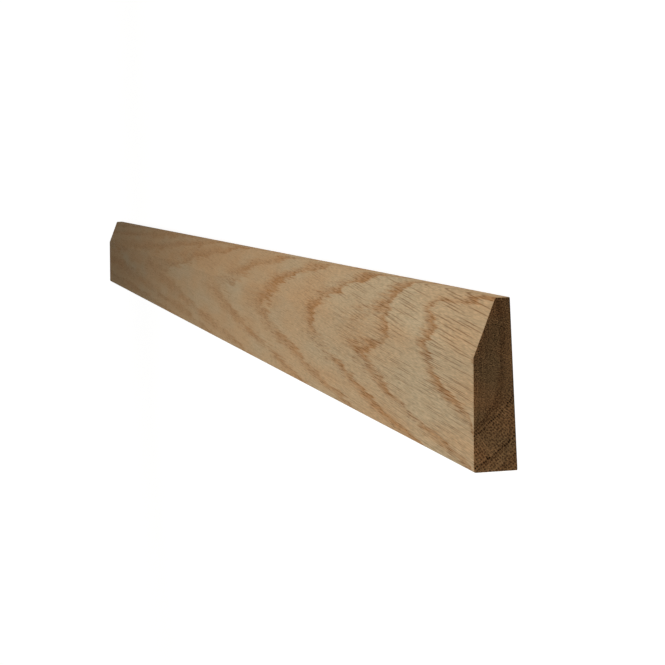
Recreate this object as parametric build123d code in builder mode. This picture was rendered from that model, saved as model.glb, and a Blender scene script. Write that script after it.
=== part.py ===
from build123d import *
import os

# Chamfered door architrave, machined from one length of solid oak.
# It lies on its flat back: +X runs along the length, +Y across the width from the
# thick outer edge to the thin inner edge, and +Z out of the face.
# The origin is the middle of the back. All sizes are in millimetres.

# Driving sizes
LENGTH = 2100.0
WIDTH = 70.0
OUTER_EDGE = 18.0  # thickness at the thick edge, which meets the wall
ARRIS_THICKNESS = 16.0  # thickness where the face ends and the chamfer begins
INNER_EDGE = 6.0  # thickness left at the thin edge, beside the door lining
CHAMFER_WIDTH = 23.5  # measured across the width, from the inner edge to the arris

# Sanded edges
OUTER_EASING = 0.8
ARRIS_EASING = 2.0
INNER_EASING = 1.2
BACK_EASING = 0.4

outer_side = -WIDTH / 2
inner_side = WIDTH / 2
arris_side = inner_side - CHAMFER_WIDTH

# Section, in outline order from the outer edge at the back
back_outer = (outer_side, 0)
face_outer = (outer_side, OUTER_EDGE)
arris = (arris_side, ARRIS_THICKNESS)
face_inner = (inner_side, INNER_EDGE)
back_inner = (inner_side, 0)

# Each corner of the section takes its own easing
easings = {
    back_outer: BACK_EASING,
    face_outer: OUTER_EASING,
    arris: ARRIS_EASING,
    face_inner: INNER_EASING,
    back_inner: BACK_EASING,
}

with BuildPart() as architrave:
    with BuildSketch(Plane.YZ) as section:
        with BuildLine() as outline:
            Polyline(*easings, close=True)
        make_face()
        for corner, easing in easings.items():
            fillet(section.vertices().sort_by_distance(corner)[0], radius=easing)
    extrude(amount=LENGTH / 2, both=True)

architrave.part.label = "architrave"
os.makedirs("parts", exist_ok=True)
export_step(architrave.part, "parts/architrave.step")
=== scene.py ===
import logging
import math
from dataclasses import dataclass
from enum import Enum
from typing import Any

import bmesh
import bpy
from mathutils import Matrix, Vector


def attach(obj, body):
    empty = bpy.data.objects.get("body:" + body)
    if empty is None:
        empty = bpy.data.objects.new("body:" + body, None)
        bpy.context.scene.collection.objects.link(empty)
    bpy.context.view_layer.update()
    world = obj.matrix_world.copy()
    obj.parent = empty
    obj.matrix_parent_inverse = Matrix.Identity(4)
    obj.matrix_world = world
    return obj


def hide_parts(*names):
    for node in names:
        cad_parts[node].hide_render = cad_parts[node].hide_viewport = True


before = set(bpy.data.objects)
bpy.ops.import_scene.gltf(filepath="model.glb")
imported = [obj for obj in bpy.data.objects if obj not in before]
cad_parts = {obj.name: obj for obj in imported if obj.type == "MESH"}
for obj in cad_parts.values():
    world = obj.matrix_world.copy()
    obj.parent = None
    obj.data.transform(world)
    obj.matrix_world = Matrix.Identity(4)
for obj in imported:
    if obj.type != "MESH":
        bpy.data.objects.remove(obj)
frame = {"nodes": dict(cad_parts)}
LOG = logging.getLogger("architrave")
MM = 0.001
# Points nearer to each other than this, in metres, are one point
TOUCH = 1e-6
# Places in metres are rounded to so many decimals before they are looked up
DECIMALS = 6

Socket = bpy.types.NodeSocket
Triple = tuple[float, float, float]
# Where a change starts and where it ends
Span = tuple[float, float]
# Where something starts, is whole, begins to fade and is gone
Zone = tuple[float, float, float, float]

# What the noise mostly keeps within: in the rings' waves, the streaks and the wood's tone
WAVES: Span = (0.25, 0.75)
STREAKS: Span = (0.3, 0.7)
TONES: Span = (0.35, 0.65)


class Cut(Enum):
    """How a surface of the wood was cut. Only a sawn end keeps the saw's marks."""

    PLANED = "planed face"
    SAWN_END = "sawn end grain"


def linear(colour: str) -> tuple[float, float, float, float]:
    """Turn an sRGB hex colour into the linear values that the shaders read.

    Args:
        colour: Six hex digits after a hash sign.

    Returns:
        Linear red, green and blue, with an alpha of 1.
    """
    parts = [int(colour[i : i + 2], 16) / 255 for i in (1, 3, 5)]
    red, green, blue = (p / 12.92 if p <= 0.04045 else ((p + 0.055) / 1.055) ** 2.4 for p in parts)
    return (red, green, blue, 1.0)


def add(tree: bpy.types.NodeTree, kind: str, feeds: dict[int | str, Any], **settings: Any) -> bpy.types.Node:
    """Add one node with its settings, and feed its inputs.

    Args:
        tree: The node tree that gets the node.
        kind: The node's type name.
        feeds: Input index or name, and the socket or value that goes in.
        **settings: The node's own properties.

    Returns:
        The new node.
    """
    node = tree.nodes.new(kind)
    for name, value in settings.items():
        setattr(node, name, value)
    for key, value in feeds.items():
        if isinstance(value, bpy.types.NodeSocket):
            tree.links.new(value, node.inputs[key])
        else:
            node.inputs[key].default_value = value
    return node


def blank(owner: bpy.types.Material | bpy.types.World) -> bpy.types.NodeTree:
    """Turn on the nodes of a material or a world.

    Args:
        owner: The material or world.

    Returns:
        Its node tree, with nothing in it.
    """
    owner.use_nodes = True
    owner.node_tree.nodes.clear()
    return owner.node_tree


def linked(name: str, data: bpy.types.ID) -> bpy.types.Object:
    """Put a mesh, a camera or a light into the scene.

    Args:
        name: The object's name.
        data: What the object shows.

    Returns:
        The object.
    """
    made = bpy.data.objects.new(name, data)
    bpy.context.scene.collection.objects.link(made)
    return made


@dataclass(frozen=True)
class Fold:
    """A local fold in the rings, which dents or swells the arches. All sizes in millimetres.

    Depth is how far the fold lifts the rings' radius: above nought it dents an arch
    back towards the near end, below nought it swells it.
    """

    across: float
    width: float
    from_end: float
    length: float
    depth: float


@dataclass(frozen=True)
class GrowthRings:
    """Where the tree's growth rings lie in the board, in millimetres.

    The pith runs above the face, rising away from the near end, so each ring meets
    the face in an arch that points to the far end, and meets the end in an arc.
    """

    # The distance from the pith at which each ring starts, and the end of the last one
    starts: tuple[float, ...] = (
        44.0, 56.5, 70.0, 76.9, 85.1, 91.4, 99.0, 103.1, 107.5, 112.0, 117.5, 123.5, 130.0, 137.0,
    )
    longest_radius: float = 160.0
    near_end: float = 1050.0
    # The pith's place across and up at the near end, and how far and how soon it climbs
    pith_across: float = 22.2
    pith_drift: float = -0.0041
    pith_height: float = 61.0
    pith_climb: float = 60.0
    climb_length: float = 656.0
    folds: tuple[Fold, ...] = (
        Fold(across=9.1, width=10.2, from_end=225.0, length=82.0, depth=8.0),
        Fold(across=27.4, width=5.4, from_end=104.0, length=57.0, depth=-5.9),
        Fold(across=12.3, width=7.3, from_end=1083.0, length=835.0, depth=3.0),
        Fold(across=25.0, width=7.0, from_end=236.0, length=52.0, depth=2.0),
        Fold(across=4.0, width=13.0, from_end=480.0, length=75.0, depth=1.3),
        Fold(across=-12.0, width=20.0, from_end=0.0, length=6.0, depth=-3.6),
    )
    # Waves in the rings, each with its length, width and depth, and how far it swings
    waves: tuple[tuple[Triple, float], ...] = (
        ((110.0, 15.0, 15.0), 0.5),
        ((40.0, 5.0, 8.0), 0.6),
        ((26.0, 1.6, 3.0), 0.45),
        ((48.0, 0.75, 1.4), 0.75),
    )
    # Spring wood comes in at the end of the ring before, and thins out over the start of its own
    early_rise: float = 0.7
    early_width: float = 3.4
    # Where the noise is low it is weaker, in patches of this length, width and depth
    patch_size: Triple = (120.0, 11.0, 14.0)
    patch_noise: Span = (0.34, 0.6)
    patch_least: float = 0.4
    # The bands fade to a share beyond the near end, and the wood turns warmer there
    band_fade: Span = (450.0, 1300.0)
    far_bands: float = 0.42
    warm_rise: Span = (300.0, 1500.0)
    far_warmth: float = 0.12
    tone_size: Triple = (170.0, 20.0, 20.0)
    # Spring wood lies just under the chamfer, and tints it along the middle of its length
    chamfer_tint: float = 0.26
    chamfer_rise: Span = (7.0, 17.0)
    tint_zone: Zone = (120.0, 480.0, 1350.0, 1750.0)


@dataclass(frozen=True)
class OakVessels:
    """The pores, fibres and rays of European oak, in millimetres, as they run along the grain.

    The photograph has two and a half pixels to a millimetre at the near end, too few
    for any of these at its true width, so each is drawn as coarse as it needs to show.
    A jitter is how far a pattern's cells leave their even rows, from 0 to 1. A rim is
    where a mark is whole and where it has gone, in cells from its middle.
    """

    # How far the fibres drift across the board and up, for each millimetre along it
    fibre_tilt: float = 0.028
    fibre_rise: float = 0.028 / 3
    # Spring pores are 0.2 to 0.35 mm wide, and are drawn about twice that
    pore_spacing: float = 0.62
    pore_length: float = 24.2
    pore_jitter: float = 0.8
    # Behind a ring's start they close up from the first of these radii to the second, in cells
    pore_zone: Span = (0.2, 5.1)
    pore_radii: Span = (0.42, -0.02)
    # A pore starts a little outside its radius and is whole a little inside it
    pore_edge: Span = (-0.06, 0.16)
    # Summer pores are 0.03 to 0.06 mm wide in flame-shaped rows, and each dot stands for a cluster
    dot_spacing: float = 1.35
    dot_width: float = 0.95
    dot_length: float = 146.0
    dot_jitter: float = 0.45
    dot_rim: Span = (0.24, 0.5)
    # Their rows bend round this line, given by its place across and its height at the near end
    dot_home: tuple[float, float] = (45.0, 61.0)
    # The distances from the line between which they show, and the share that is left outside
    dot_zone: Zone = (70.0, 76.0, 106.0, 130.0)
    dot_least: float = 0.1
    # The rows this near to these distances are dark, and the others have a share of it
    dark_rows: tuple[float, ...] = (70.4, 78.5, 89.3)
    dark_reach: float = 0.8
    other_rows: float = 0.65
    # The distances from the line over which painted light lightens the wood, towards the thick edge
    painted_light_rise: Span = (58.0, 92.0)
    # Fibre bundles are some 0.1 mm wide, and are drawn about three times that
    line_spacing: float = 0.85
    line_length: float = 135.0
    line_jitter: float = 0.65
    line_rim: Span = (0.07, 0.28)
    # How far a line moves sideways for each millimetre up, so that the edges have lines too
    line_step: float = 0.7
    # Broad rays are 0.2 to 0.5 mm thick and up to 30 mm deep, near their true size here
    ray_spacing: float = 0.7
    ray_length: float = 12.0
    ray_depth: float = 9.0
    ray_noise: Span = (0.6, 0.72)
    # Single fibres are 0.02 mm wide, and each streak stands for a few dozen of them
    fibre_spacing: float = 0.5
    fibre_length: float = 10.0
    # Lines, pores and streaks fade to a share beyond the near end
    line_fade: Span = (40.0, 560.0)
    far_lines: float = 0.22
    pore_fade: Span = (60.0, 800.0)
    far_pores: float = 0.45
    far_fibres: float = 0.45
    # The lines also fade across the face, towards the thick edge
    edge_fade: Span = (-5.0, -35.0)
    edge_lines: float = 0.45


@dataclass(frozen=True)
class SawMarks:
    """The arcs that a circular saw leaves on an end, in millimetres.

    The blade's centre is given by its place across and its height. The teeth score every
    0.1 mm or so, and the arcs are drawn as the wider beat that the eye sees. The swing is
    how much an arc lightens or darkens the wood, as a share of its shade.
    """

    across: float = 12.0
    up: float = 165.0
    pitch: float = 1.25
    swing: float = 0.12
    depth: float = 0.03


@dataclass(frozen=True)
class Stain:
    """The colour of one part of the figure, and how strongly it shows, from 0 to 1."""

    part: str
    colour: str
    share: float


@dataclass(frozen=True)
class OakFinish:
    """One finish of solid European oak, bare wood with no oil or lacquer.

    Each stain lies over those before it. The painted light is how much lighter the wood
    is painted towards the thick edge, and fibre_swing how much a streak lightens or darkens
    the wood, both as shares of its shade. The relief is in millimetres.
    """

    name: str
    cut: Cut
    ground: str
    ground_cool: str
    stains: tuple[Stain, ...]
    # Painted light: how much lighter the wood is painted towards the thick edge
    painted_end_light: float
    fibre_swing: float
    roughness: float
    relief: float


# Planed and sanded along the grain. The eye gets a matt, even skin with no highlight, in
# tan summer wood with orange-brown arches where the spring pores were cut lengthways.
PLANED_OAK = OakFinish(
    name="planed_oak",
    cut=Cut.PLANED,
    ground="#C8A67E",
    ground_cool="#C5AE8B",
    stains=(
        Stain("Early", "#A86F38", 0.6),
        Stain("Lines", "#774C24", 0.66),
        Stain("Dots", "#7E4E24", 0.14),
        Stain("Rays", "#8F6C42", 0.2),
        Stain("Pores", "#784A24", 0.68),
    ),
    # The face gets no painted light
    painted_end_light=0.0,
    fibre_swing=0.2,
    roughness=0.78,
    relief=0.06,
)

# Cross-cut by a circular saw. The open fibre ends swallow the light, so the same wood looks
# far darker and browner, dotted with pores in rows, with pale rays across them and the
# blade's faint arcs over all.
SAWN_OAK = OakFinish(
    name="sawn_oak_end_grain",
    cut=Cut.SAWN_END,
    ground="#8B6441",
    ground_cool="#7C6142",
    stains=(
        Stain("Early", "#6A4628", 0.35),
        Stain("Dots", "#281708", 1.0),
        Stain("Rays", "#B88E62", 0.3),
        Stain("Pores", "#140A05", 0.6),
    ),
    # Painted light: the end is painted lighter towards the thick edge
    painted_end_light=1.12,
    fibre_swing=1.0,
    roughness=0.85,
    relief=0.12,
)

# How high a streak of fibres stands, as a share of the pores' depth
FIBRE_HEIGHT = 0.25
BUMP_STRENGTH = 0.5
# An open pore is rougher than the wood round it, by this much
PORE_ROUGHNESS = 0.2
WOOD_IOR = 1.45
# The wood is bare, and at the photograph's low angle more sheen than this would veil its colour
WOOD_SHEEN = 0.01


class OakGrain:
    """The figure of the wood as one node group, which both finishes share.

    It is solid: arches on the face, lines on the edges and arcs on the ends come
    from the same rings, pores and rays.
    """

    def __init__(self, rings: GrowthRings, vessels: OakVessels, saw: SawMarks) -> None:
        """Keep the sizes and build the group.

        Args:
            rings: The growth rings' place in the board.
            vessels: The sizes of the pores, fibres and rays.
            saw: The saw's marks on the ends.
        """
        self.rings = rings
        self.vessels = vessels
        self.saw = saw
        self.tree = bpy.data.node_groups.new("oak_grain", "ShaderNodeTree")
        self.build()

    def stretched(self, at: Socket, sizes: Triple) -> Socket:
        """Scale a place so that one unit is one pattern cell of this length, width and depth."""
        per_cell = tuple(1 / s for s in sizes)
        return add(self.tree, "ShaderNodeVectorMath", {0: at, 1: per_cell}, operation="MULTIPLY").outputs[0]

    def clouds(self, at: Socket, sizes: Triple, detail: float) -> Socket:
        """Soft random clouds with cells of this size and so many finer layers, mostly from 0.3 to 0.7."""
        feeds = {"Vector": self.stretched(at, sizes), "Scale": 1.0, "Detail": detail}
        return add(self.tree, "ShaderNodeTexNoise", feeds).outputs[0]

    def wave(self, at: Socket, sizes: Triple, height: float) -> Socket:
        """A smooth random wave about zero.

        Args:
            at: The place, in millimetres.
            sizes: The wave's length, width and depth, in millimetres.
            height: How far it swings each way, in millimetres.

        Returns:
            The wave's height.
        """
        low, high = WAVES
        feeds = {0: self.clouds(at, sizes, detail=1.0), 1: low, 2: high, 3: -height, 4: height}
        return add(self.tree, "ShaderNodeMapRange", feeds, clamp=False).outputs[0]

    def faded(self, part: Socket, place: Socket, fade: Span, rest: float, middle: float = 0.0) -> Socket:
        """Weaken a part of the figure from one place to another.

        Args:
            part: The part of the figure.
            place: The distance that counts, in millimetres.
            fade: Where the fade starts and where it ends.
            rest: The share that is left beyond it.
            middle: The value that the part fades towards.

        Returns:
            The weakened part.
        """
        starts, ends = fade
        falling = {0: place, 1: starts, 2: ends, 3: 1.0, 4: rest}
        left = add(self.tree, "ShaderNodeMapRange", falling).outputs[0]
        return add(self.tree, "ShaderNodeMix", {0: left, 2: middle, 3: part}, data_type="FLOAT").outputs[0]

    def within(self, place: Socket, zone: Zone, least: float) -> Socket:
        """Rise into a zone and fall out of it again.

        Args:
            place: The distance that counts, in millimetres.
            zone: Where the rise starts and ends, and where the fall starts and ends.
            least: The share that is left outside.

        Returns:
            The share, which is 1 inside.
        """
        starts, whole, fades, gone = zone
        rising = {0: place, 1: starts, 2: whole, 3: least, 4: 1.0}
        falling = {0: place, 1: fades, 2: gone, 3: 1.0, 4: least}
        rise = add(self.tree, "ShaderNodeMapRange", rising).outputs[0]
        fall = add(self.tree, "ShaderNodeMapRange", falling).outputs[0]
        return add(self.tree, "ShaderNodeMath", {0: rise, 1: fall}, operation="MULTIPLY").outputs[0]

    @staticmethod
    def outwards(tree: bpy.types.NodeTree, at: Socket, home: Triple) -> tuple[Socket, Socket]:
        """Measure straight out from a line that runs along the board.

        Args:
            tree: The node tree that gets the nodes.
            at: The place to measure.
            home: A point on the line.

        Returns:
            The way out from the line, and its length.
        """
        away = add(tree, "ShaderNodeVectorMath", {0: at, 1: home}, operation="SUBTRACT").outputs[0]
        square_on = {0: away, 1: (0.0, 1.0, 1.0)}
        way = add(tree, "ShaderNodeVectorMath", square_on, operation="MULTIPLY").outputs[0]
        return way, add(tree, "ShaderNodeVectorMath", {0: way}, operation="LENGTH").outputs[1]

    def pith_offset(self, run: Socket, across: Socket, up: Socket) -> Socket:
        """Measure from the pith's line, which rises away from the near end.

        Args:
            run: Distance from the near end.
            across: Place across the board.
            up: Height above the back.

        Returns:
            The distance from the pith, which is a ring's radius.
        """
        tree, r = self.tree, self.rings
        sideways = {0: run, 1: r.pith_drift, 2: r.pith_across}
        pith_y = add(tree, "ShaderNodeMath", sideways, operation="MULTIPLY_ADD").outputs[0]
        share = add(tree, "ShaderNodeMath", {0: run, 1: -1 / r.climb_length}, operation="MULTIPLY").outputs[0]
        fade = add(tree, "ShaderNodeMath", {0: share}, operation="EXPONENT").outputs[0]
        upwards = {0: fade, 1: -r.pith_climb, 2: r.pith_height + r.pith_climb}
        pith_z = add(tree, "ShaderNodeMath", upwards, operation="MULTIPLY_ADD").outputs[0]
        off_y = add(tree, "ShaderNodeMath", {0: across, 1: pith_y}, operation="SUBTRACT").outputs[0]
        off_z = add(tree, "ShaderNodeMath", {0: pith_z, 1: up}, operation="SUBTRACT").outputs[0]
        off = add(tree, "ShaderNodeCombineXYZ", {0: 0.0, 1: off_y, 2: off_z}).outputs[0]
        return add(tree, "ShaderNodeVectorMath", {0: off}, operation="LENGTH").outputs[1]

    def bent(self, radius: Socket, at: Socket, run: Socket, across: Socket) -> Socket:
        """Bend the round rings with the folds and with waves, from slow ones to frayed edges.

        Args:
            radius: The distance from the pith.
            at: The place, in millimetres.
            run: Distance from the near end.
            across: Place across the board.

        Returns:
            The radius as the bent rings count it.
        """
        tree = self.tree
        for fold in self.rings.folds:
            sideways = {0: across, 1: 1 / fold.width, 2: -fold.across / fold.width}
            lengthways = {0: run, 1: 1 / fold.length, 2: -fold.from_end / fold.length}
            away_y = add(tree, "ShaderNodeMath", sideways, operation="MULTIPLY_ADD").outputs[0]
            away_x = add(tree, "ShaderNodeMath", lengthways, operation="MULTIPLY_ADD").outputs[0]
            away = add(tree, "ShaderNodeCombineXYZ", {0: away_y, 1: away_x, 2: 0.0}).outputs[0]
            square = add(tree, "ShaderNodeVectorMath", {0: away, 1: away}, operation="DOT_PRODUCT").outputs[1]
            fall = add(tree, "ShaderNodeMath", {0: square, 1: -1.0}, operation="MULTIPLY").outputs[0]
            bell = add(tree, "ShaderNodeMath", {0: fall}, operation="EXPONENT").outputs[0]
            lifted = {0: bell, 1: fold.depth, 2: radius}
            radius = add(tree, "ShaderNodeMath", lifted, operation="MULTIPLY_ADD").outputs[0]
        for sizes, height in self.rings.waves:
            wave = self.wave(at, sizes, height)
            radius = add(tree, "ShaderNodeMath", {0: radius, 1: wave}, operation="ADD").outputs[0]
        return radius

    def ring_place(self, radius: Socket) -> tuple[Socket, Socket]:
        """Find the ring that a radius falls in.

        Args:
            radius: The radius as the bent rings count it.

        Returns:
            How far past the ring's start the place lies, and how far before its end.
        """
        tree, r = self.tree, self.rings
        rings = len(r.starts) + 1
        scaled = add(tree, "ShaderNodeMath", {0: radius, 1: r.longest_radius}, operation="DIVIDE").outputs[0]
        count = add(tree, "ShaderNodeFloatCurve", {"Value": scaled})
        curve = count.mapping.curves[0]
        curve.points[1].location = (1.0, 1.0)
        for number, start in enumerate(r.starts, 1):
            curve.points.new(start / r.longest_radius, number / rings)
        for point in curve.points:
            point.handle_type = "VECTOR"
        count.mapping.update()
        counted = {0: count.outputs[0], 1: float(rings)}
        years = add(tree, "ShaderNodeMath", counted, operation="MULTIPLY").outputs[0]
        season = add(tree, "ShaderNodeMath", {0: years}, operation="FRACT").outputs[0]
        whole = add(tree, "ShaderNodeMath", {0: years}, operation="FLOOR").outputs[0]

        # A ramp with a stop for each ring holds the rings' widths, as shares of a width past them all
        widest = 100.0
        middle = {0: whole, 1: 1 / rings, 2: 0.5 / rings}
        slot = add(tree, "ShaderNodeMath", middle, operation="MULTIPLY_ADD").outputs[0]
        widths = add(tree, "ShaderNodeValToRGB", {0: slot})
        widths.color_ramp.interpolation = "CONSTANT"
        ends = (*r.starts[1:], r.longest_radius)
        for number, (start, end) in enumerate(zip(r.starts, ends), 1):
            stop = widths.color_ramp.elements.new(number / rings)
            stop.color = ((end - start) / widest,) * 3 + (1.0,)
        wide = add(tree, "ShaderNodeMath", {0: widths.outputs[0], 1: widest}, operation="MULTIPLY").outputs[0]
        past = add(tree, "ShaderNodeMath", {0: season, 1: wide}, operation="MULTIPLY").outputs[0]
        left = add(tree, "ShaderNodeMath", {0: wide, 1: past}, operation="SUBTRACT").outputs[0]
        return past, left

    def spring_wood(self, at: Socket, past: Socket, left: Socket) -> Socket:
        """Colour each ring's first wood, stronger in some places than in others.

        Args:
            at: The place, in millimetres.
            past: How far past its ring's start the place lies.
            left: How far before its ring's end the place lies.

        Returns:
            The share of spring wood.
        """
        tree, r = self.tree, self.rings
        after = {0: past, 2: r.early_width, 3: 1.0, 4: 0.0}
        before = {0: left, 2: r.early_rise, 3: 1.0, 4: 0.0}
        fall = add(tree, "ShaderNodeMapRange", after, interpolation_type="SMOOTHSTEP").outputs[0]
        rise = add(tree, "ShaderNodeMapRange", before).outputs[0]
        band = add(tree, "ShaderNodeMath", {0: fall, 1: rise}, operation="MAXIMUM").outputs[0]
        low, high = r.patch_noise
        patches = {0: self.clouds(at, r.patch_size, detail=1.0), 1: low, 2: high, 3: r.patch_least, 4: 1.0}
        strength = add(tree, "ShaderNodeMapRange", patches).outputs[0]
        return add(tree, "ShaderNodeMath", {0: band, 1: strength}, operation="MULTIPLY").outputs[0]

    def chamfer_tint(self, run: Socket, across: Socket) -> Socket:
        """Tint the chamfer, where spring wood lies just under the surface.

        Args:
            run: Distance from the near end.
            across: Place across the board.

        Returns:
            The share of spring wood that this adds.
        """
        tree, r = self.tree, self.rings
        arris, full = r.chamfer_rise
        rising = {0: across, 1: arris, 2: full, 4: r.chamfer_tint}
        side = add(tree, "ShaderNodeMapRange", rising).outputs[0]
        span = self.within(run, r.tint_zone, 0.0)
        return add(tree, "ShaderNodeMath", {0: side, 1: span}, operation="MULTIPLY").outputs[0]

    def tone(self, at: Socket, run: Socket) -> Socket:
        """Drift between cooler and warmer wood in slow clouds, and grow warmer towards the far end.

        Args:
            at: The place, in millimetres.
            run: Distance from the near end.

        Returns:
            The tone, which is higher where the wood is warmer.
        """
        starts, ends = self.rings.warm_rise
        rising = {0: run, 1: starts, 2: ends, 4: self.rings.far_warmth}
        warmer = add(self.tree, "ShaderNodeMapRange", rising).outputs[0]
        patches = self.clouds(at, self.rings.tone_size, detail=2.0)
        return add(self.tree, "ShaderNodeMath", {0: patches, 1: warmer}, operation="ADD").outputs[0]

    def fan(self, along: Socket, grain: Socket) -> tuple[Socket, Socket]:
        """Lay out spokes and arcs about one line, for all that stands in rows on the ends.

        Args:
            along: Place along the board.
            grain: The place, sheared so that it runs with the fibres.

        Returns:
            The place as along, round and out, and its distance out.
        """
        tree, v = self.tree, self.vessels
        home_y, home_z = v.dot_home
        end = self.rings.near_end
        home = (0.0, home_y + v.fibre_tilt * end, home_z + v.fibre_rise * end)
        way, reached = self.outwards(tree, grain, home)
        _, way_y, way_z = add(tree, "ShaderNodeSeparateXYZ", {0: way}).outputs
        angle = add(tree, "ShaderNodeMath", {0: way_y, 1: way_z}, operation="ARCTAN2").outputs[0]
        # The turn is measured along the middle dark row, where the cells have their true width
        arc = add(tree, "ShaderNodeMath", {0: angle, 1: v.dark_rows[1]}, operation="MULTIPLY").outputs[0]
        return add(tree, "ShaderNodeCombineXYZ", {0: along, 1: arc, 2: reached}).outputs[0], reached

    def spring_pores(self, fan: Socket, past: Socket) -> Socket:
        """Open pores, wide and crowded in a ring's first wood and closing up behind it.

        Args:
            fan: The place as along, round and out.
            past: How far past its ring's start the place lies.

        Returns:
            The share of open pore.
        """
        tree, v = self.tree, self.vessels
        sizes = (v.pore_length, v.pore_spacing, v.pore_spacing)
        feeds = {"Vector": self.stretched(fan, sizes), "Scale": 1.0, "Randomness": v.pore_jitter}
        from_middle = add(tree, "ShaderNodeTexVoronoi", feeds).outputs["Distance"]
        (starts, ends), (first, last) = v.pore_zone, v.pore_radii
        closing = {0: past, 1: starts, 2: ends, 3: first, 4: last}
        radius = add(tree, "ShaderNodeMapRange", closing, interpolation_type="SMOOTHSTEP").outputs[0]
        inside = add(tree, "ShaderNodeMath", {0: radius, 1: from_middle}, operation="SUBTRACT").outputs[0]
        outer, inner = v.pore_edge
        return add(tree, "ShaderNodeMapRange", {0: inside, 1: outer, 2: inner}).outputs[0]

    def summer_pores(self, fan: Socket, reached: Socket) -> Socket:
        """Clusters of small pores in rows, in the outer rings: dots on the end, thin dashes on the face.

        Args:
            fan: The place as along, round and out.
            reached: The place's distance out.

        Returns:
            The share of dot.
        """
        tree, v = self.tree, self.vessels
        sizes = (v.dot_length, v.dot_width, v.dot_spacing)
        feeds = {"Vector": self.stretched(fan, sizes), "Scale": 1.0, "Randomness": v.dot_jitter}
        from_middle = add(tree, "ShaderNodeTexVoronoi", feeds).outputs["Distance"]
        whole, gone = v.dot_rim
        marks = {0: from_middle, 1: whole, 2: gone, 3: 1.0, 4: 0.0}
        dots = add(tree, "ShaderNodeMapRange", marks).outputs[0]
        strong = 0.0
        for row in v.dark_rows:
            near_row = {0: reached, 1: row, 2: v.dark_reach}
            on_row = add(tree, "ShaderNodeMath", near_row, operation="COMPARE").outputs[0]
            strong = add(tree, "ShaderNodeMath", {0: on_row, 1: strong}, operation="MAXIMUM").outputs[0]
        rows = {0: strong, 1: 1 - v.other_rows, 2: v.other_rows}
        weight = add(tree, "ShaderNodeMath", rows, operation="MULTIPLY_ADD").outputs[0]
        zone = self.within(reached, v.dot_zone, v.dot_least)
        weight = add(tree, "ShaderNodeMath", {0: weight, 1: zone}, operation="MULTIPLY").outputs[0]
        return add(tree, "ShaderNodeMath", {0: dots, 1: weight}, operation="MULTIPLY").outputs[0]

    def fibre_lines(self, grain: Socket) -> Socket:
        """Fine dark lines that run on along the grain.

        Args:
            grain: The place, sheared so that it runs with the fibres.

        Returns:
            The share of dark line.
        """
        tree, v = self.tree, self.vessels
        along, drift, lift = add(tree, "ShaderNodeSeparateXYZ", {0: grain}).outputs
        stepped = {0: lift, 1: v.line_step, 2: drift}
        side = add(tree, "ShaderNodeMath", stepped, operation="MULTIPLY_ADD").outputs[0]
        sheet = add(tree, "ShaderNodeCombineXYZ", {0: along, 1: side, 2: 0.0}).outputs[0]
        cells = self.stretched(sheet, (v.line_length, v.line_spacing, 1.0))
        feeds = {"Vector": cells, "Scale": 1.0, "Randomness": v.line_jitter}
        from_middle = add(tree, "ShaderNodeTexVoronoi", feeds, voronoi_dimensions="2D").outputs["Distance"]
        whole, gone = v.line_rim
        return add(tree, "ShaderNodeMapRange", {0: from_middle, 1: whole, 2: gone, 3: 1.0, 4: 0.0}).outputs[0]

    def rays(self, fan: Socket) -> Socket:
        """Thin sheets that stand out like spokes.

        Args:
            fan: The place as along, round and out.

        Returns:
            The share of ray.
        """
        v = self.vessels
        sheets = self.clouds(fan, (v.ray_length, v.ray_spacing, v.ray_depth), detail=1.0)
        low, high = v.ray_noise
        feeds = {0: sheets, 1: low, 2: high}
        return add(self.tree, "ShaderNodeMapRange", feeds, interpolation_type="SMOOTHSTEP").outputs[0]

    def build(self) -> None:
        """Make the group's nodes, from the place in the board to the parts of the figure."""
        tree, v, r = self.tree, self.vessels, self.rings
        coords = add(tree, "ShaderNodeTexCoord", {}).outputs["Object"]
        at = add(tree, "ShaderNodeVectorMath", {0: coords, "Scale": 1 / MM}, operation="SCALE").outputs[0]
        along, across, up = add(tree, "ShaderNodeSeparateXYZ", {0: at}).outputs
        run = add(tree, "ShaderNodeMath", {0: r.near_end, 1: along}, operation="SUBTRACT").outputs[0]
        past, left = self.ring_place(self.bent(self.pith_offset(run, across, up), at, run, across))

        # The fibres' own run, which drifts across the board and up a little
        sideways = {0: along, 1: v.fibre_tilt, 2: across}
        upwards = {0: along, 1: v.fibre_rise, 2: up}
        drift = add(tree, "ShaderNodeMath", sideways, operation="MULTIPLY_ADD").outputs[0]
        lift = add(tree, "ShaderNodeMath", upwards, operation="MULTIPLY_ADD").outputs[0]
        grain = add(tree, "ShaderNodeCombineXYZ", {0: along, 1: drift, 2: lift}).outputs[0]
        fan, reached = self.fan(along, grain)

        # Most of the figure is weaker beyond the near end
        bands = self.faded(self.spring_wood(at, past, left), run, r.band_fade, r.far_bands)
        tinted = {0: bands, 1: self.chamfer_tint(run, across)}
        lines = self.faded(self.fibre_lines(grain), run, v.line_fade, v.far_lines)
        streaks = self.clouds(grain, (v.fibre_length, v.fibre_spacing, v.fibre_spacing), detail=2.0)
        # Painted light: a ramp that lightens the wood towards the thick edge
        light_starts, light_whole = v.painted_light_rise
        painted_ramp = {0: reached, 1: light_starts, 2: light_whole}
        figure = {
            "Early": add(tree, "ShaderNodeMath", tinted, operation="ADD").outputs[0],
            "Pores": self.faded(self.spring_pores(fan, past), run, v.pore_fade, v.far_pores),
            "Dots": self.summer_pores(fan, reached),
            "Lines": self.faded(lines, across, v.edge_fade, v.edge_lines),
            "Rays": self.rays(fan),
            "Tone": self.tone(at, run),
            "Fibre": self.faded(streaks, run, v.pore_fade, v.far_fibres, middle=0.5),
            "PaintedEndLight": add(tree, "ShaderNodeMapRange", painted_ramp).outputs[0],
        }
        for name in figure:
            tree.interface.new_socket(name, in_out="OUTPUT", socket_type="NodeSocketFloat")
        add(tree, "NodeGroupOutput", figure)

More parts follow.
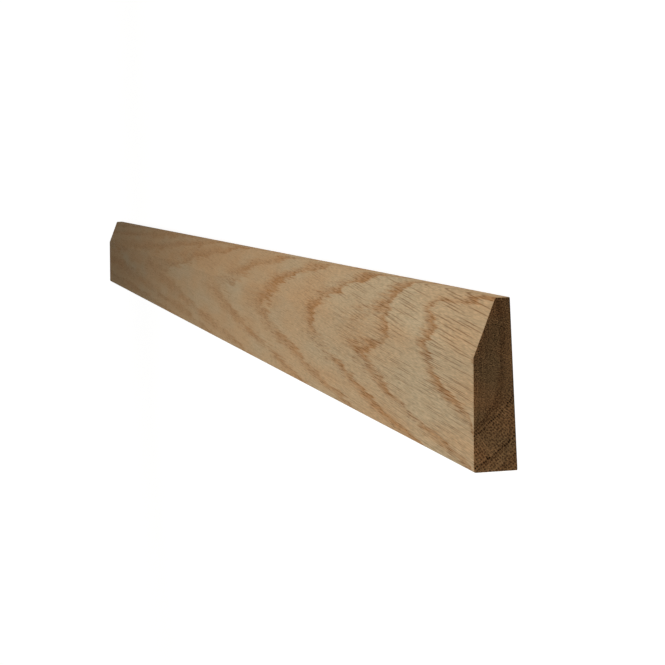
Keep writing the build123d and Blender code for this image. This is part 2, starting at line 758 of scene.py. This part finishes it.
    def saw_arcs(self, tree: bpy.types.NodeTree) -> Socket:
        """Draw the saw's arcs in a finish's own tree.

        Args:
            tree: The finish's node tree.

        Returns:
            The arcs, mostly from 0.3 to 0.7.
        """
        coords = add(tree, "ShaderNodeTexCoord", {}).outputs["Object"]
        _, reach = self.outwards(tree, coords, (0.0, self.saw.across * MM, self.saw.up * MM))
        turns = add(tree, "ShaderNodeMath", {0: reach, 1: self.saw.pitch * MM}, operation="DIVIDE").outputs[0]
        feeds = {"W": turns, "Scale": 1.0, "Detail": 1.0}
        return add(tree, "ShaderNodeTexNoise", feeds, noise_dimensions="1D").outputs[0]

    def finish(self, look: OakFinish) -> bpy.types.Material:
        """Make one finish of this wood.

        Args:
            look: The finish's colours, roughness and relief.

        Returns:
            The material.
        """
        material = bpy.data.materials.new(look.name)
        tree = blank(material)
        group = add(tree, "ShaderNodeGroup", {}, node_tree=self.tree)
        figure = {part.name: part for part in group.outputs}

        cool, warm = TONES
        warmth = add(tree, "ShaderNodeMapRange", {0: figure["Tone"], 1: cool, 2: warm}).outputs[0]
        grounds = {0: warmth, 6: linear(look.ground_cool), 7: linear(look.ground)}
        colour = add(tree, "ShaderNodeMix", grounds, data_type="RGBA").outputs[2]
        for stain in look.stains:
            weakened = {0: figure[stain.part], 1: stain.share}
            share = add(tree, "ShaderNodeMath", weakened, operation="MULTIPLY").outputs[0]
            layers = {0: share, 6: colour, 7: linear(stain.colour)}
            colour = add(tree, "ShaderNodeMix", layers, data_type="RGBA").outputs[2]

        # Painted light lightens the wood towards the thick edge, and the fibres swing the shade from streak
        # to streak
        low, high = STREAKS
        swung = {0: figure["Fibre"], 1: low, 2: high, 3: 1 - look.fibre_swing, 4: 1 + look.fibre_swing}
        shade = add(tree, "ShaderNodeMapRange", swung).outputs[0]
        brighter = {0: figure["PaintedEndLight"], 1: look.painted_end_light, 2: shade}
        shade = add(tree, "ShaderNodeMath", brighter, operation="MULTIPLY_ADD").outputs[0]
        sunk = add(tree, "ShaderNodeMath", {0: figure["Pores"], 1: -1.0}, operation="MULTIPLY").outputs[0]
        raised = {0: figure["Fibre"], 1: FIBRE_HEIGHT, 2: sunk}
        height = add(tree, "ShaderNodeMath", raised, operation="MULTIPLY_ADD").outputs[0]
        if look.cut is Cut.SAWN_END:
            arcs = self.saw_arcs(tree)
            scores = {0: arcs, 1: low, 2: high, 3: 1 - self.saw.swing, 4: 1 + self.saw.swing}
            scored = add(tree, "ShaderNodeMapRange", scores).outputs[0]
            shade = add(tree, "ShaderNodeMath", {0: shade, 1: scored}, operation="MULTIPLY").outputs[0]
            ridges = {0: arcs, 1: self.saw.depth / look.relief, 2: height}
            height = add(tree, "ShaderNodeMath", ridges, operation="MULTIPLY_ADD").outputs[0]
        colour = add(tree, "ShaderNodeVectorMath", {0: colour, "Scale": shade}, operation="SCALE").outputs[0]

        relief = {"Height": height, "Strength": BUMP_STRENGTH, "Distance": look.relief * MM}
        bump = add(tree, "ShaderNodeBump", relief).outputs[0]
        dulled = {0: figure["Pores"], 3: look.roughness, 4: min(1.0, look.roughness + PORE_ROUGHNESS)}
        rough = add(tree, "ShaderNodeMapRange", dulled).outputs[0]
        skin = {"Base Color": colour, "Roughness": rough, "Normal": bump}
        skin.update({"IOR": WOOD_IOR, "Specular IOR Level": WOOD_SHEEN})
        shader = add(tree, "ShaderNodeBsdfPrincipled", skin)
        add(tree, "ShaderNodeOutputMaterial", {0: shader.outputs[0]})
        return material


@dataclass(frozen=True)
class MapArea:
    """A part of the bake's square map, in shares of the map's width and height."""

    left: float
    bottom: float
    width: float
    height: float

    def spot(self, along: float, up: float) -> tuple[float, float]:
        """Find the place in the map that lies so far along and up in this area."""
        return (self.left + self.width * along, self.bottom + self.height * up)


# The long sides fill most of the map, and the two ends lie next to each other above them
SIDES = MapArea(left=0.002, bottom=0.005, width=0.996, height=0.895)
FAR_END = MapArea(left=0.01, bottom=0.915, width=0.48, height=0.08)
NEAR_END = MapArea(left=0.51, bottom=0.915, width=0.48, height=0.08)


@dataclass(frozen=True)
class Board:
    """The architrave itself: one length of oak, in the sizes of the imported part, in millimetres."""

    length: float = 2100.0
    width: float = 70.0
    outer_edge: float = 18.0
    arris_thickness: float = 16.0
    inner_edge: float = 6.0
    chamfer_width: float = 23.5
    outer_easing: float = 0.8
    arris_easing: float = 2.0
    inner_easing: float = 1.2
    back_easing: float = 0.4
    easing_steps: int = 5
    end_easing: float = 0.15
    # Faces that meet at less than so many degrees are shaded as one smooth surface
    smooth_turn: float = 35.0
    # The back's share of the room in the bake's map that its width would fill
    back_room: float = 0.55

    def section(self) -> list[tuple[Vector, float]]:
        """Lay out the section.

        Returns:
            Each corner in order round the outline, with its easing's radius.
        """
        side = self.width / 2
        return [
            (Vector((0, -side, 0)), self.back_easing),
            (Vector((0, side, 0)), self.back_easing),
            (Vector((0, side, self.inner_edge)), self.inner_easing),
            (Vector((0, side - self.chamfer_width, self.arris_thickness)), self.arris_easing),
            (Vector((0, -side, self.outer_edge)), self.outer_easing),
        ]

    def build(self) -> bpy.types.Object:
        """Machine the board: the section run out to its length, its edges eased and its ends sawn.

        Returns:
            The finished piece.
        """
        bm = bmesh.new()
        corners = self.section()
        start = Vector((-self.length / 2, 0, 0))
        outline = [bm.verts.new((start + corner) * MM) for corner, _ in corners]
        profile = bm.faces.new(outline)
        run = bmesh.ops.extrude_face_region(bm, geom=[profile])
        moved = [g for g in run["geom"] if isinstance(g, bmesh.types.BMVert)]
        bmesh.ops.translate(bm, verts=moved, vec=(self.length * MM, 0, 0))
        bmesh.ops.recalc_face_normals(bm, faces=bm.faces)
        for corner, radius in corners:
            self.ease(bm, corner, radius)
        self.saw_ends(bm)
        self.unroll(bm)
        mesh = bpy.data.meshes.new("board")
        bm.to_mesh(mesh)
        bm.free()
        return linked("board", mesh)

    @staticmethod
    def is_end(face: bmesh.types.BMFace) -> bool:
        """Tell whether a face looks mostly along the board, as end grain and its eased edges do."""
        return abs(face.normal.x) > 0.5

    @staticmethod
    def in_section(vert: bmesh.types.BMVert) -> tuple[float, float]:
        """Give a point's place in the section, rounded so that it can be looked up."""
        return (round(vert.co.y, DECIMALS), round(vert.co.z, DECIMALS))

    @staticmethod
    def cut_back(bm: bmesh.types.BMesh, edges: list[bmesh.types.BMEdge], reach: float, flats: int) -> None:
        """Take the sharpness off some edges.

        Args:
            bm: The board so far.
            edges: The edges.
            reach: How far from an edge the cut starts on each side, in millimetres.
            flats: How many flats make up the rounding.
        """
        shape = {"offset_type": "OFFSET", "affect": "EDGES", "profile": 0.5, "material": -1}
        bmesh.ops.bevel(bm, geom=edges, offset=reach * MM, segments=flats, **shape)

    def ease(self, bm: bmesh.types.BMesh, corner: Vector, radius: float) -> None:
        """Round one long edge.

        Args:
            bm: The board so far.
            corner: The edge's place in the section, in millimetres.
            radius: The rounding's radius, in millimetres.
        """
        place = corner * MM
        bm.edges.ensure_lookup_table()
        edges = [
            e
            for e in bm.edges
            if abs(e.verts[0].co.x - e.verts[1].co.x) > MM
            and all((v.co.yz - place.yz).length < TOUCH for v in e.verts)
        ]
        turn = edges[0].calc_face_angle()
        self.cut_back(bm, edges, radius * math.tan(turn / 2), self.easing_steps)

    def saw_ends(self, bm: bmesh.types.BMesh) -> None:
        """Take the sharpness off the sawn ends' edges and mark which faces are end grain.

        Args:
            bm: The board so far.
        """
        reach = self.length / 2 * MM - TOUCH
        rims = [e for e in bm.edges if all(abs(v.co.x) > reach for v in e.verts)]
        self.cut_back(bm, rims, self.end_easing, 1)
        for face in bm.faces:
            face.smooth = True
            face.material_index = 1 if self.is_end(face) else 0
        for edge in bm.edges:
            edge.smooth = edge.calc_face_angle(0.0) < math.radians(self.smooth_turn)

    def unroll(self, bm: bmesh.types.BMesh) -> None:
        """Lay the surface out flat for baking: the long sides in strips, the ends beside them.

        The grain is some twenty times finer across than along, so the strips are drawn
        far wider than they are long. The face gets the most room and the back the least.

        Args:
            bm: The machined board.
        """
        layer = bm.loops.layers.uv.new("OFBake")
        middle = self.outer_edge / 2 * MM
        rim = {self.in_section(v) for face in bm.faces if not self.is_end(face) for v in face.verts}
        around = sorted(rim, key=lambda p: math.atan2(p[1] - middle, p[0]))
        place = {point: number for number, point in enumerate(around)}
        reach = [0.0]
        for point, after in zip(around, (*around[1:], around[0])):
            on_back = point[1] < TOUCH and after[1] < TOUCH
            reach.append(reach[-1] + math.dist(point, after) * (self.back_room if on_back else 1.0))
        for face in bm.faces:
            if self.is_end(face):
                area = FAR_END if face.normal.x < 0 else NEAR_END
                for loop in face.loops:
                    y, z = loop.vert.co.yz / MM
                    loop[layer].uv = area.spot(y / self.width + 0.5, z / self.outer_edge)
                continue
            # A side lies between two neighbouring points, the last one between the last and the first
            numbers = [place[self.in_section(v)] for v in face.verts]
            first = min(numbers) if max(numbers) - min(numbers) == 1 else max(numbers)
            for loop, number in zip(face.loops, numbers):
                strip = reach[first] if number == first else reach[first + 1]
                along = loop.vert.co.x / (self.length * MM) + 0.5
                loop[layer].uv = SIDES.spot(along, strip / reach[-1])

    def dress(self, board: bpy.types.Object, grain: OakGrain) -> None:
        """Give the board its finishes and its place in the frame.

        Args:
            board: The finished piece.
            grain: The wood's figure.
        """
        for look in (PLANED_OAK, SAWN_OAK):
            board.data.materials.append(grain.finish(look))
        shading = board.modifiers.new("flat faces stay flat", "WEIGHTED_NORMAL")
        shading.keep_sharp = True
        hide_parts("architrave")
        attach(board, "root")
        finishes = [material.name for material in board.data.materials]
        LOG.info("%s: %d faces, %s", board.name, len(board.data.polygons), finishes)


@dataclass(frozen=True)
class PhotoCamera:
    """The photograph's camera, worked out from its perspective, in millimetres.

    The photograph shows the board on its thick edge. Here the board lies on its back,
    so the camera has made the same quarter turn about the board's length.
    """

    eye: Triple = (2080.2, 92.0, 229.2)
    aim: Triple = (6.4, -43.05, -85.96)
    top: Triple = (-0.0561, 0.99674, -0.05797)
    lens: float = 142.19
    sensor: float = 36.0
    nearest: float = 10.0
    farthest: float = 200000.0

    def build(self) -> bpy.types.Object:
        """Make the camera and hand it to the scene.

        Returns:
            The camera.
        """
        data = bpy.data.cameras.new("camera")
        data.lens = self.lens
        data.sensor_width = self.sensor
        data.clip_start = self.nearest * MM
        data.clip_end = self.farthest * MM
        camera = linked("camera", data)
        back = (Vector(self.eye) - Vector(self.aim)).normalized()
        right = Vector(self.top).cross(back).normalized()
        turn = Matrix((right, back.cross(right), back)).transposed()
        camera.matrix_world = Matrix.Translation(Vector(self.eye) * MM) @ turn.to_4x4()
        bpy.context.scene.camera = camera
        return camera


@dataclass(frozen=True)
class Lamp:
    """One soft oblong lamp, in metres and watts. Its length is level."""

    name: str
    place: Triple
    aim: Triple
    length: float
    width: float
    power: float

    def build(self) -> bpy.types.Object:
        """Hang the lamp, out of the camera's sight and out of the wood's weak sheen.

        Returns:
            The lamp.
        """
        data = bpy.data.lights.new(self.name, "AREA")
        data.shape = "RECTANGLE"
        data.size = self.length
        data.size_y = self.width
        data.energy = self.power
        lamp = linked(self.name, data)
        turn = (Vector(self.aim) - Vector(self.place)).to_track_quat("-Z", "Y")
        lamp.matrix_world = Matrix.Translation(self.place) @ turn.to_matrix().to_4x4()
        lamp.visible_camera = False
        lamp.visible_glossy = False
        return lamp


@dataclass(frozen=True)
class Studio:
    """A pale floor under a long softbox, with a low lamp beyond the thin edge and one at the far end.

    Their light falls off towards the far end, as in the photograph. Sizes are in metres.
    """

    floor_width: float = 120.0
    floor_colour: str = "#8A8884"
    # The floor lies this far under the board's back, so that the two don't share a plane
    floor_drop: float = 0.05 * MM
    # Lamplight adds to the floor's white round the board, so the white itself is held back there
    glow_rise: Span = (0.8, 1.6)
    glow: Span = (0.94, 1.0)
    white: str = "#FFFFFF"
    sky: float = 0.085
    sky_colour: str = "#FFFDF9"
    lamps: tuple[Lamp, ...] = (
        Lamp("softbox", (0.87, -0.436, 0.86), aim=(0.84, 0.0, 0.0), length=2.2, width=0.62, power=9.5),
        Lamp("edge_light", (0.81, 1.218, 0.122), aim=(0.78, 0.0, 0.0), length=1.75, width=0.5, power=15.3),
        Lamp("far_light", (-2.2, 0.25, 0.24), aim=(-1.05, 0.0, 0.0), length=0.5, width=0.4, power=2.0),
    )

    @staticmethod
    def seen(tree: bpy.types.NodeTree) -> Socket:
        """Tell the rays that look at a thing from those that gather its light.

        Args:
            tree: The node tree that gets the nodes.

        Returns:
            1 for a ray from the camera, from a shiny surface or through glass, and else 0.
        """
        path = add(tree, "ShaderNodeLightPath", {})
        seen = path.outputs["Is Camera Ray"]
        for name in ("Is Glossy Ray", "Is Transmission Ray"):
            either = {0: seen, 1: path.outputs[name]}
            seen = add(tree, "ShaderNodeMath", either, operation="MAXIMUM").outputs[0]
        return seen

    def floor(self) -> bpy.types.Object:
        """Lay the floor, white to the eye and grey to the light that it throws back.

        Returns:
            The floor.
        """
        bm = bmesh.new()
        bmesh.ops.create_grid(bm, x_segments=1, y_segments=1, size=self.floor_width / 2)
        bmesh.ops.translate(bm, verts=bm.verts, vec=(0, 0, -self.floor_drop))
        mesh = bpy.data.meshes.new("floor")
        bm.to_mesh(mesh)
        bm.free()
        floor = linked("floor", mesh)
        material = bpy.data.materials.new("studio_floor")
        tree = blank(material)
        matt = add(tree, "ShaderNodeBsdfDiffuse", {"Color": linear(self.floor_colour)})
        coords = add(tree, "ShaderNodeTexCoord", {})
        far = add(tree, "ShaderNodeVectorMath", {0: coords.outputs["Object"]}, operation="LENGTH").outputs[1]
        (starts, ends), (held, whole) = self.glow_rise, self.glow
        glow = add(tree, "ShaderNodeMapRange", {0: far, 1: starts, 2: ends, 3: held, 4: whole}).outputs[0]
        white = add(tree, "ShaderNodeEmission", {"Color": linear(self.white), "Strength": glow})
        shown = add(tree, "ShaderNodeAddShader", {0: matt.outputs[0], 1: white.outputs[0]})
        sides = {0: self.seen(tree), 1: matt.outputs[0], 2: shown.outputs[0]}
        both = add(tree, "ShaderNodeMixShader", sides)
        add(tree, "ShaderNodeOutputMaterial", {0: both.outputs[0]})
        floor.data.materials.append(material)
        return floor

    def air(self) -> bpy.types.World:
        """Fill the room with even light, and show white behind everything.

        Returns:
            The world.
        """
        world = bpy.data.worlds.new("studio")
        tree = blank(world)
        dim = add(tree, "ShaderNodeBackground", {0: linear(self.sky_colour), 1: self.sky})
        white = add(tree, "ShaderNodeBackground", {0: linear(self.white), 1: 1.0})
        sides = {0: self.seen(tree), 1: dim.outputs[0], 2: white.outputs[0]}
        both = add(tree, "ShaderNodeMixShader", sides)
        add(tree, "ShaderNodeOutputWorld", {0: both.outputs[0]})
        bpy.context.scene.world = world
        return world

    def build(self) -> None:
        """Set up the floor, the lamps and the room's light."""
        for made in (self.floor(), *(lamp.build() for lamp in self.lamps), self.air()):
            LOG.info("studio: %s", made.name)


def main() -> None:
    """Build the board, the camera and the studio in the frame."""
    logging.basicConfig(level=logging.INFO, format="%(name)s: %(message)s")
    LOG.info("nodes: %s", ", ".join(frame["nodes"]))
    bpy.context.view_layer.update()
    board = Board()
    piece = board.build()
    board.dress(piece, OakGrain(GrowthRings(), OakVessels(), SawMarks()))
    camera = PhotoCamera().build()
    LOG.info("%s: %.1f mm lens", camera.name, camera.data.lens)
    Studio().build()
    bpy.context.scene.view_settings.view_transform = "Standard"
    bpy.context.view_layer.update()


if __name__ == "__main__":
    main()
